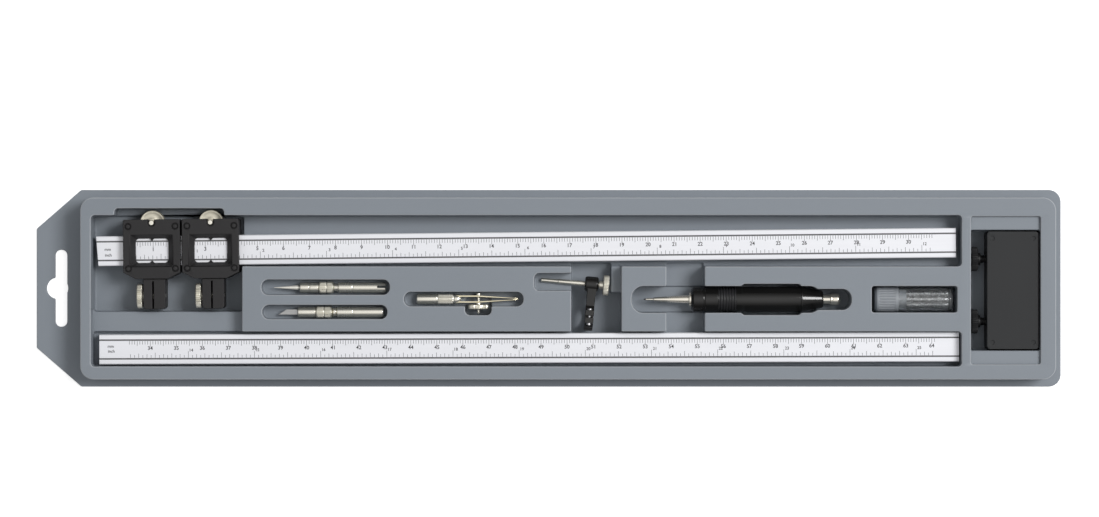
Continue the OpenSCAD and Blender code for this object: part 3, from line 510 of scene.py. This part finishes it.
def turned(name, origin, axis, profile, grooves=0, pitch=0.5, hollow=False, around=None):
    """Surface of revolution about the axis through origin. A point at angle a of a ring has
    the ring's radius less its groove depth times a wave of that many V grooves in a turn,
    less its thread depth times a wave that moves on by one turn for each pitch of length."""
    rows = np.zeros((len(profile), 4))
    for k, row in enumerate(profile):
        rows[k, :len(row)] = row
    count = around or (grooves * 8 if grooves else 64)
    angle = np.linspace(0, 2 * math.pi, count, endpoint=False)
    phase = np.abs((angle * grooves / (2 * math.pi)) % 1 - 0.5) * 2
    notch = np.clip(phase * 2.4 - 1.4, 0, 1)
    winding = (rows[:, :1] / pitch - angle[None] / (2 * math.pi)) % 1
    valley = np.abs(winding - 0.5) * 2
    radius = rows[:, 1:2] - rows[:, 2:3] * notch[None] - rows[:, 3:4] * valley
    axis = np.array(axis, float)
    axis /= np.linalg.norm(axis)
    side = np.cross((0, 0, 1.0) if abs(axis[2]) < 0.9 else (0, 1.0, 0), axis)
    side /= np.linalg.norm(side)
    up = np.cross(axis, side)
    ring = np.cos(angle)[:, None] * side + np.sin(angle)[:, None] * up
    points = np.array(origin) + mm * (rows[:, 0][:, None, None] * axis + radius[:, :, None] * ring[None])
    points = points.reshape(-1, 3)
    rings = len(rows)
    i = np.arange(rings if hollow else rings - 1)[:, None]
    j = np.arange(count)[None]
    on, beside = (i + 1) % rings, (j + 1) % count
    quads = np.stack([i * count + j, i * count + beside, on * count + beside, on * count + j], 2)
    faces = [tuple(face) for face in quads.reshape(-1, 4).tolist()]
    if not hollow:
        ends = np.array(origin) + mm * rows[[0, -1], 0][:, None] * axis
        first, last = len(points), len(points) + 1
        points = np.concatenate([points, ends])
        j = np.arange(count)
        back = (j + 1) % count
        faces += np.stack([back, j, np.full(count, first)], 1).tolist()
        tail = (rings - 1) * count
        faces += np.stack([tail + j, tail + back, np.full(count, last)], 1).tolist()
    return new_piece(name, points, faces)


def axis_of(joint):
    """Where a turning joint's axis is, and which way it points."""
    return joints[joint]["pos_m"], joints[joint]["axis"]


nickel_knurled = finish("knurled nickel", (0.72, 0.69, 0.59), (0.88, 0.85, 0.75), (0.24, 0.34),
                        patch=150, speckle=4200, share=0.7, bump=0.03, depth=0.01 * mm, metal=0.92)
nickel = finish("turned nickel", (0.76, 0.73, 0.64), (0.88, 0.85, 0.76), (0.22, 0.3), patch=60,
                speckle=1500, share=0.7, along=(1, 0.1, 0.1), bump=0.01, depth=0.005 * mm, metal=0.95)
roller_face = finish("roller nickel", (0.6, 0.56, 0.45), (0.78, 0.74, 0.62), (0.34, 0.48),
                     patch=300, speckle=5200, share=0.5, bump=0.1, metal=0.85)

roller_half = 1.7
roller_radius = 4.9
roller_knurl = 0.16
roller_dish = roller_half - 0.12
roller_rows = [(-roller_half, 1.0), (-roller_half, 4.0), (-roller_half, 4.6),
               (-1.4, roller_radius, roller_knurl), (1.4, roller_radius, roller_knurl),
               (roller_half, 4.6), (roller_half, 4.0), (roller_dish, 3.8), (roller_dish, 1.9),
               (roller_half, 1.7), (roller_half, 1.0)]
pin_rows = [(-5.0, 0.0), (-5.0, 0.8), (-4.85, 1.0), (5.5, 1.0), (5.75, 0.82), (5.8, 0.0)]
for head in "ab":
    origin, axis = axis_of(f"roller_{head}_turn")
    wheel = turned(f"roller_{head}_wheel", origin, axis, roller_rows, grooves=48, hollow=True)
    dress(wheel, roller_face, f"roller_{head}", "nickel_knurled", f"roller_{head}")
    axle = turned(f"axle_{head}_pin", origin, axis, pin_rows, around=40)
    dress(axle, nickel, f"roller_{head}", "nickel", f"axle_{head}")

clamp_knurl = 0.17
clamp_nut = eased([(-6.0, 1.7, 0), (-6.0, 3.0, 0), (-5.85, 3.2, 0), (-5.85, 4.0, 0), (-6.0, 4.2, 0),
                   (-6.0, 4.45, 0), (-5.7, 4.75, clamp_knurl), (-4.1, 4.75, clamp_knurl),
                   (-3.8, 4.45, 0), (-3.8, 2.2, 0), (-3.55, 2.2, 0), (-3.55, 1.2, 0),
                   (-3.3, 1.2, 0)], 0.1)
clamp_rows = [*clamp_nut, *threaded(-3.2, 4.5, 1.2, 0.12, 0.5), (4.75, 1.1), (4.9, 0.85)]
for head in "ab":
    origin, axis = axis_of(f"clamp_screw_{head}_turn")
    screw = turned(f"clamp_screw_{head}_nut", origin, axis, clamp_rows, grooves=44)
    dress(screw, nickel_knurled, f"clamp_screw_{head}", "nickel_knurled", f"clamp_screw_{head}")

# ---------------------------------------------------------------- coupler
# A sleeve that joins the two beams end to end, moulded in two halves like the heads. Two
# black thumb screws press a brass strip, the gib, along both beam ends.

coupler_finish = finish("coupler moulding", (0.024, 0.025, 0.026), (0.033, 0.034, 0.036), (0.5, 0.64),
                        patch=70, speckle=3400, share=0.4, bump=0.25, depth=0.03 * mm, specular=0.22)
for half, edge in (("base", 0.3 * mm), ("cover", 0.11 * mm)):
    moulding = merged_copy(f"coupler_{half}_moulding", f"coupler_{half}")
    round_edges(moulding, edge)
    dress(moulding, coupler_finish, "coupler", "coupler_plastic", f"coupler_{half}")
brass_finish = finish("brass", (0.55, 0.4, 0.15), (0.68, 0.52, 0.24), (0.25, 0.4), metal=1.0)
dress(nodes["coupler_gib"], brass_finish)
dress(nodes["coupler_screws"], steel_finish)

black_gloss = finish("black gloss", (0.004, 0.0038, 0.0035), (0.008, 0.0075, 0.007), (0.1, 0.16),
                     patch=120, speckle=1800, share=0.6, bump=0.03, specular=0.5, coat=0.1)
black_screw = finish("black thumb screw", (0.006, 0.006, 0.007), (0.014, 0.014, 0.015), (0.36, 0.5),
                     patch=200, speckle=3000, bump=0.1, specular=0.25)
knob_knurl = 0.18
knob_pitch = 0.6
knob = eased([(-2.8, 0.0, 0), (-2.8, 2.6, 0), (-2.62, 2.9, 0), (-2.62, 3.7, 0), (-2.8, 4.0, 0),
              (-2.8, 4.35, 0), (-2.5, 4.65, knob_knurl), (-0.5, 4.65, knob_knurl), (-0.2, 4.35, 0),
              (-0.2, 2.4, 0), (0.8, 2.4, 0), (1.1, 1.5, 0), (1.5, 1.5, 0)], 0.12)
knob_rows = [*knob, *threaded(1.6, 5.6, 1.5, 0.14, knob_pitch), (5.8, 1.4), (6.1, 1.1)]
for k in (1, 2):
    origin, axis = axis_of(f"coupler_knob_{k}_turn")
    piece = turned(f"coupler_thumb_screw_{k}", origin, axis, knob_rows, grooves=44, pitch=knob_pitch)
    dress(piece, black_screw, f"coupler_knob_{k}", "black_gloss", f"coupler_knob_{k}")

# ---------------------------------------------------------------- needle and knife inserts
# Two nickel-plated shanks of the same 4 mm. Each holds its point in a slit chuck, which a
# knurled collar closes: a steel needle in one and a slanted knife blade in the other.


def start_of(node):
    """Middle of a lying node's left end."""
    low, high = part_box(node)
    return (low.x, (low.y + high.y) / 2, (low.z + high.z) / 2)


def cut_away(piece, origin, low, high):
    """Takes a box away from a piece; its two corners are in millimetres from the origin."""
    box = bmesh.new()
    bmesh.ops.create_cube(box, size=1)
    for point in box.verts:
        point.co = [origin[k] + mm * ((low[k] + high[k]) / 2 + point.co[k] * (high[k] - low[k]))
                    for k in range(3)]
    mesh = bpy.data.meshes.new("box")
    box.to_mesh(mesh)
    box.free()
    cutter = bpy.data.objects.new("box", mesh)
    bpy.context.collection.objects.link(cutter)
    cut = piece.modifiers.new("cut", "BOOLEAN")
    cut.object = cutter
    cut.solver = "EXACT"
    made = bpy.data.meshes.new_from_object(piece.evaluated_get(bpy.context.evaluated_depsgraph_get()))
    piece.modifiers.clear()
    piece.data = made
    bpy.data.objects.remove(cutter)


needle_tip = start_of("needle_point")
along = (1, 0, 0)
chuck = eased([(9.9, 0.72), (9.9, 1.65), (10.25, 2.0), (13.4, 2.0), (13.5, 1.88), (13.9, 1.88),
               (14.0, 2.0), (17.15, 2.0), (17.15, 1.2), (23.1, 1.2), (23.1, 1.5), (24.7, 1.5),
               (24.7, 1.85), (25.0, 2.0), (30.0, 2.0), (30.1, 1.93), (30.5, 1.93), (30.6, 2.0),
               (42.7, 2.0), (43.1, 1.6), (43.1, 0.0)], 0.12)
needle_shank = turned("needle_shank_turning", needle_tip, along, [(9.9, 0.0), *chuck])
cut_away(needle_shank, needle_tip, (39.7, -0.2, -3), (45, 0.8, 3))
dress(needle_shank, nickel, "needle", "nickel", "needle_shank")
needle_steel = finish("polished needle", (0.86, 0.83, 0.74), (0.97, 0.95, 0.88), (0.2, 0.3), patch=200,
                      speckle=1500, bump=0.02, metal=0.4)
needle = turned("needle_steel", needle_tip, along,
                [(0, 0.0), (0.05, 0.07), (9.1, 0.93), (9.3, 0.93), (9.3, 0.7), (14.0, 0.7)], around=32)
dress(needle, needle_steel, "needle", "steel", "needle_point")
collar_knurl = 0.13
needle_ring = eased([(17.3, 1.27, 0), (17.3, 1.95, 0), (17.6, 2.25, 0), (18.0, 2.25, collar_knurl),
                     (20.0, 2.25, collar_knurl), (20.1, 2.1, 0), (20.4, 2.1, 0),
                     (20.5, 2.25, collar_knurl), (22.3, 2.25, collar_knurl), (22.7, 2.25, 0),
                     (23.0, 1.95, 0), (23.0, 1.27, 0)], 0.06, 2)
collar = turned("needle_collar_ring", needle_tip, along, needle_ring, grooves=24, hollow=True)
dress(collar, nickel_knurled, "needle_collar", "nickel_knurled", "needle_collar")

knife_tip = start_of("knife_blade")
knife_profile = eased([(7.4, 0.0), (7.4, 1.65), (7.75, 2.0), (14.35, 2.0), (14.35, 1.2), (20.8, 1.2),
                       (20.8, 1.3), (21.2, 1.8), (22.0, 1.8), (22.4, 1.3), (22.4, 1.8), (22.7, 2.0),
                       (28.5, 2.0), (28.6, 1.93), (29.0, 1.93), (29.1, 2.0), (40.1, 2.0),
                       (40.5, 1.6), (40.5, 0.0)], 0.12)
knife_shank = turned("knife_shank_turning", knife_tip, along, knife_profile)
dress(knife_shank, nickel, "knife", "nickel", "knife_shank")
knife_ring = eased([(14.5, 1.27, 0), (14.5, 1.95, 0), (14.8, 2.25, 0), (15.2, 2.25, collar_knurl),
                    (17.4, 2.25, collar_knurl), (17.5, 2.1, 0), (17.8, 2.1, 0),
                    (17.9, 2.25, collar_knurl), (20.0, 2.25, collar_knurl), (20.4, 2.25, 0),
                    (20.7, 1.95, 0), (20.7, 1.27, 0)], 0.06, 2)
knife_collar = turned("knife_collar_ring", knife_tip, along, knife_ring, grooves=24, hollow=True)
dress(knife_collar, nickel_knurled, "knife_collar", "nickel_knurled", "knife_collar")
blade_steel = finish("ground blade", (0.3, 0.3, 0.3), (0.46, 0.46, 0.45), (0.25, 0.4), patch=300,
                     speckle=1400, share=0.3, along=(0.1, 1, 1), bump=0.05, metal=0.9)
blade = merged_copy("knife_blade_ground", "knife_blade")
round_edges(blade, 0.06 * mm, 2)
dress(blade, blade_steel, "knife", "blade_steel", "knife_blade")

# ---------------------------------------------------------------- ruling pen
# Two spring-steel blades stand in a nickel handle. A small screw through both, with a
# knurled nut, sets the gap that the ink runs from.

pen_start = start_of("pen_handle")
handle = eased([(0, 0.0, 0), (0, 1.6, 0), (0.4, 2.0, 0), (7.8, 2.0, 0), (8.0, 1.88, 0), (8.3, 1.88, 0),
                (8.5, 2.0, 0.12), (14.0, 2.0, 0.12), (14.2, 1.88, 0), (14.6, 1.88, 0), (14.8, 2.0, 0),
                (15.9, 2.0, 0), (17.1, 1.5, 0), (17.1, 0.0, 0)], 0.08, 2)
pen_handle = turned("pen_handle_turning", pen_start, along, handle, grooves=24)
dress(pen_handle, nickel, "ruling_pen", "nickel", "pen_handle")
blade_gold = finish("warm blade steel", (0.62, 0.54, 0.36), (0.86, 0.8, 0.62), (0.14, 0.28), patch=260,
                    speckle=1200, along=(0.15, 1, 1), bump=0.06, metal=1.0)
for hand in ("left", "right"):
    leaf = merged_copy(f"pen_leaf_{hand}", f"pen_blade_{hand}")
    round_edges(leaf, 0.07 * mm, 2)
    dress(leaf, blade_gold, "ruling_pen", "blade_gold", f"pen_blade_{hand}")
pen_cross = axis_of("pen_nut_turn")[0]
towards_front = (0, -1, 0)
fine_pitch = 0.4
pen_screw_rows = [(-2.3, 0.0), (-2.3, 0.85), (-2.1, 1.1), (-1.45, 1.1), (-1.4, 0.6),
                  *threaded(-1.3, 5.3, 0.6, 0.07, fine_pitch), (5.5, 0.5), (5.6, 0.3)]
pen_screw = turned("pen_adjusting_screw", pen_cross, towards_front, pen_screw_rows, pitch=fine_pitch,
                   around=32)
dress(pen_screw, nickel, "ruling_pen", "nickel", "pen_screw")
nut = eased([(1.55, 0.67, 0), (1.55, 1.3, 0), (2.05, 1.3, 0), (2.05, 3.6, 0), (2.35, 3.9, 0.16),
             (3.65, 3.9, 0.16), (3.95, 3.6, 0), (3.95, 2.6, 0), (3.8, 2.4, 0), (3.8, 0.67, 0)], 0.08, 2)
pen_nut = turned("pen_nut_knurled", pen_cross, towards_front, nut, grooves=36, hollow=True)
dress(pen_nut, nickel_knurled, "pen_nut", "nickel_knurled", "pen_nut")

# ---------------------------------------------------------------- pen adapter
# A black moulding with a split ring for the pencil and a boss that grips a nickel rod. The
# rod goes into a head's clamp in place of an insert.

adapter_moulding = merged_copy("adapter_moulding", "adapter_holder")
round_edges(adapter_moulding, 0.2 * mm)
dress(adapter_moulding, black_gloss, "adapter", "black_gloss", "adapter_holder")
adapter_origin, adapter_axis = axis_of("adapter_thumb_screw_turn")
rod_rows = eased([(-17.0, 0.0), (-17.0, 0.5), (-16.7, 0.78), (-10.4, 0.78), (-10.2, 0.95),
                  (2.2, 0.95), (2.2, 0.0)], 0.1)
rod = turned("adapter_rod_turning", adapter_origin, adapter_axis, rod_rows, around=48)
dress(rod, nickel, "adapter", "nickel", "adapter_rod")
disc = eased([(5.6, 1.5, 0), (7.0, 1.5, 0), (7.0, 3.6, 0), (7.3, 3.9, 0.14), (9.0, 3.9, 0.14), (9.3, 3.6, 0),
              (9.3, 2.2, 0), (9.1, 1.8, 0), (9.1, 0.0, 0)], 0.1, 3)
thumb_rows = [(2.4, 0.0), (2.4, 0.9), *threaded(2.5, 5.4, 1.1, 0.1, fine_pitch), (5.6, 1.1), *disc]
thumb_screw = turned("adapter_thumb_screw_disc", adapter_origin, adapter_axis, thumb_rows, grooves=36,
                     pitch=fine_pitch)
dress(thumb_screw, nickel_knurled, "adapter_thumb_screw", "nickel_knurled", "adapter_thumb_screw")
dress(nodes["adapter_pinch_screw"], steel_finish)

# ---------------------------------------------------------------- mechanical pencil
# A clutch pencil of glossy black mouldings with a chrome tip and push button, and a short
# ribbed sleeve for the fingers.

chrome = finish("chrome plate", (0.88, 0.83, 0.72), (0.97, 0.92, 0.82), (0.12, 0.2), patch=200, speckle=900,
                bump=0.01, depth=0.01 * mm, metal=0.95)
pencil_start = start_of("pencil_tip")
tip_rows = eased([(0, 0.3), (0, 0.38), (3.0, 0.5), (3.2, 0.75), (15.0, 1.6), (16.5, 1.6), (16.7, 2.9),
                  (17.48, 2.9), (17.48, 2.6), (19.9, 2.6), (19.9, 0.3)], 0.1)
tip = turned("pencil_tip_cone", pencil_start, along, tip_rows, hollow=True)
dress(tip, chrome, "pencil", "chrome", "pencil_tip")
grip_start = 27.79
grip_end = 34.66
grip_seat = 4.05           # the sleeve sits on this radius of the barrel
barrel_radius = 4.85
barrel_rows = eased([(17.48, 2.6), (17.48, 3.95), (18.0, 4.6), (18.4, barrel_radius),
                     (22.2, barrel_radius), (22.35, 4.7), (22.7, 4.7), (22.85, barrel_radius),
                     (grip_start, barrel_radius), (grip_start, grip_seat), (grip_end, grip_seat),
                     (grip_end, barrel_radius), (59.6, barrel_radius), (59.6, 2.6)], 0.15)
barrel = turned("pencil_barrel_moulding", pencil_start, along, barrel_rows, hollow=True)
dress(barrel, black_gloss, "pencil", "black_gloss", "pencil_barrel")
rib_count = 6
rib_floor = 4.5
rib_step = (grip_end - grip_start - 0.4) / rib_count
rib_rows = [(grip_start, grip_seat), (grip_start, barrel_radius)]
for k in range(rib_count):
    groove_start = grip_start + 0.3 + k * rib_step
    groove_end = groove_start + 0.42 * rib_step
    rib_rows += [(groove_start - 0.1, barrel_radius), (groove_start + 0.1, rib_floor),
                 (groove_end, rib_floor), (groove_end + 0.2, barrel_radius)]
rib_rows += [(grip_end, barrel_radius), (grip_end, grip_seat)]
grip_finish = finish("ribbed sleeve", (0.012, 0.012, 0.013), (0.026, 0.026, 0.028), (0.32, 0.46), patch=150,
                     speckle=2600, bump=0.2, specular=0.45)
grip = turned("pencil_grip_sleeve", pencil_start, along, eased(rib_rows, 0.08), hollow=True)
dress(grip, grip_finish, "pencil", "grip_rubber", "pencil_grip")
rear_rows = eased([(59.62, 1.95), (59.62, barrel_radius), (60.2, 4.75), (67.8, 3.3), (68.2, 2.9),
                   (68.2, 1.95)], 0.3)
rear = turned("pencil_rear_cone", pencil_start, along, rear_rows, hollow=True)
dress(rear, black_gloss, "pencil", "black_gloss", "pencil_rear")
button_rows = eased([(55.6, 0.0), (55.6, 1.85), (70.9, 1.85), (71.0, 2.3), (71.5, 2.3), (71.6, 2.2),
                     (71.9, 2.2), (72.0, 2.3), (73.9, 2.3), (74.4, 2.0), (74.7, 1.3), (74.7, 0.0)], 0.12)
button = turned("pencil_push_button", pencil_start, along, button_rows)
dress(button, chrome, "pencil_button", "chrome", "pencil_button")
graphite = finish("graphite", (0.02, 0.02, 0.022), (0.045, 0.045, 0.048), (0.3, 0.45), patch=400,
                  speckle=2600, bump=0.1, specular=0.6)
dress(nodes["pencil_clutch"], brass_finish)
dress(nodes["pencil_lead"], graphite)

# ---------------------------------------------------------------- lead tube
# A clear moulded tube with spare leads in it, closed by a frosted ribbed cap.

tube_start = start_of("tube_cap")
clear = bpy.data.materials.new("clear tube")
clear.use_nodes = True
clear_shader = clear.node_tree.nodes["Principled BSDF"]
clear_shader.inputs["Base Color"].default_value = (0.93, 0.95, 0.96, 1)
clear_shader.inputs["Roughness"].default_value = 0.08
clear_shader.inputs["IOR"].default_value = 1.46
clear_shader.inputs["Transmission Weight"].default_value = 0.95
haze = clear.node_tree.nodes.new("ShaderNodeTexNoise")
haze.inputs["Scale"].default_value = 420
haze_bump = clear.node_tree.nodes.new("ShaderNodeBump")
haze_bump.inputs["Strength"].default_value = 0.02
haze_bump.inputs["Distance"].default_value = 0.02 * mm
haze_place = clear.node_tree.nodes.new("ShaderNodeTexCoord")
link(clear.node_tree, haze_place.outputs["Object"], haze.inputs["Vector"])
link(clear.node_tree, haze.outputs["Fac"], haze_bump.inputs["Height"])
link(clear.node_tree, haze_bump.outputs["Normal"], clear_shader.inputs["Normal"])
tube_rows = eased([(9.2, 3.85), (9.2, 4.65), (29.1, 4.65), (29.7, 4.3), (29.9, 3.6), (29.9, 0.0)], 0.15)
inner_rows = eased([(28.7, 0.0), (28.7, 3.0), (28.3, 3.85), (9.2, 3.85)], 0.3)
clear_tube = turned("lead_tube_clear", tube_start, along, [*inner_rows, *tube_rows[1:]])
dress(clear_tube, clear, "lead_tube", "tube_clear", "tube_body")
frosted = finish("frosted cap", (0.2, 0.215, 0.235), (0.34, 0.36, 0.385), (0.3, 0.45), patch=200,
                 speckle=2200, bump=0.12, specular=0.5)
cap_rows = eased([(0, 0.0, 0), (0, 3.9, 0), (0.8, 4.8, 0), (1.5, 4.8, 0), (1.8, 4.8, 0.26), (7.5, 4.8, 0.26),
                  (7.8, 4.8, 0), (9.1, 4.8, 0), (9.1, 3.8, 0), (12.2, 3.8, 0), (12.2, 0.0, 0)], 0.14)
cap = turned("lead_tube_cap", tube_start, along, cap_rows, grooves=24)
dress(cap, frosted, "tube_cap", "tube_cap_plastic", "tube_cap")
spare_graphite = finish("polished graphite", (0.3, 0.3, 0.3), (0.5, 0.5, 0.5), (0.2, 0.34), patch=400,
                        speckle=2600, bump=0.05, metal=0.8)
dress(nodes["spare_leads"], spare_graphite)

# ---------------------------------------------------------------- studio
# A pale floor, a soft lamp above and to the right of the set, and a camera straight overhead.

floor_mesh = bpy.data.meshes.new("floor")
reach = 3.0
floor_corners = [(-reach, -reach, 0), (reach, -reach, 0), (reach, reach, 0), (-reach, reach, 0)]
floor_mesh.from_pydata(floor_corners, [], [(0, 1, 2, 3)])
floor = bpy.data.objects.new("floor", floor_mesh)
bpy.context.collection.objects.link(floor)
floor_paint = bpy.data.materials.new("floor paint")
floor_paint.use_nodes = True
floor_tree = floor_paint.node_tree
floor_shader = floor_tree.nodes["Principled BSDF"]
floor_shader.inputs["Base Color"].default_value = (0.82, 0.82, 0.82, 1)
floor_shader.inputs["Roughness"].default_value = 0.9
floor_shader.inputs["Emission Color"].default_value = (1, 1, 1, 1)
seen = floor_tree.nodes.new("ShaderNodeLightPath")
seen_direct = math_node(floor_tree, "MAXIMUM", seen.outputs["Is Camera Ray"],
                        seen.outputs["Is Glossy Ray"])
seen_any = math_node(floor_tree, "MAXIMUM", seen_direct, seen.outputs["Is Transmission Ray"])
floor_glow = math_node(floor_tree, "MULTIPLY", seen_any, 0.6)
link(floor_tree, floor_glow, floor_shader.inputs["Emission Strength"])
floor_mesh.materials.append(floor_paint)

world = bpy.data.worlds.new("studio")
bpy.context.scene.world = world
world.use_nodes = True
sky = world.node_tree.nodes["Background"]
sky.inputs["Color"].default_value = (1, 1, 1, 1)
# the sky is brighter overhead than at the horizon, and more so where metal mirrors it: its
# strength is 0.25 + 0.3 z for soft light, and 0.1 + 0.95 z to the fourth power for mirrors
sky_tree = world.node_tree
sky_place = sky_tree.nodes.new("ShaderNodeTexCoord")
sky_height = sky_tree.nodes.new("ShaderNodeSeparateXYZ")
sky_rays = sky_tree.nodes.new("ShaderNodeLightPath")
link(sky_tree, sky_place.outputs["Generated"], sky_height.inputs[0])
sky_up = math_node(sky_tree, "MAXIMUM", sky_height.outputs["Z"], 0.0)
sky_soft = math_node(sky_tree, "ADD", math_node(sky_tree, "MULTIPLY", sky_up, 0.3), 0.25)
sky_mirror = math_node(sky_tree, "MULTIPLY", math_node(sky_tree, "POWER", sky_up, 4.0), 0.95)
sky_step = math_node(sky_tree, "SUBTRACT", math_node(sky_tree, "ADD", sky_mirror, 0.1), sky_soft)
sky_seen = math_node(sky_tree, "MULTIPLY", sky_step, sky_rays.outputs["Is Glossy Ray"])
link(sky_tree, math_node(sky_tree, "ADD", sky_soft, sky_seen), sky.inputs["Strength"])


def soft_lamp(name, place, aim, size, power):
    """Square lamp that faces its aim."""
    lamp = bpy.data.lights.new(name, "AREA")
    lamp.size = size
    lamp.energy = power
    holder = bpy.data.objects.new(name, lamp)
    holder.location = place
    holder.rotation_euler = (Vector(aim) - Vector(place)).to_track_quat("-Z", "Y").to_euler()
    bpy.context.collection.objects.link(holder)


soft_lamp("soft lamp at the right", (1.9, 0.72, 2.8), (0, 0, 0), 1.3, 78.0)

camera_data = bpy.data.cameras.new("overhead")
camera_height = 1.5
frame_width = 0.4219       # width that the photograph takes in at the beams' height
beams_height = 0.0106
sensor_width = 36
camera_data.sensor_width = sensor_width
camera_data.lens = sensor_width * (camera_height - beams_height) / frame_width
camera = bpy.data.objects.new("overhead", camera_data)
camera.location = (0.0003, 0.0115, camera_height)
bpy.context.collection.objects.link(camera)
bpy.context.scene.camera = camera
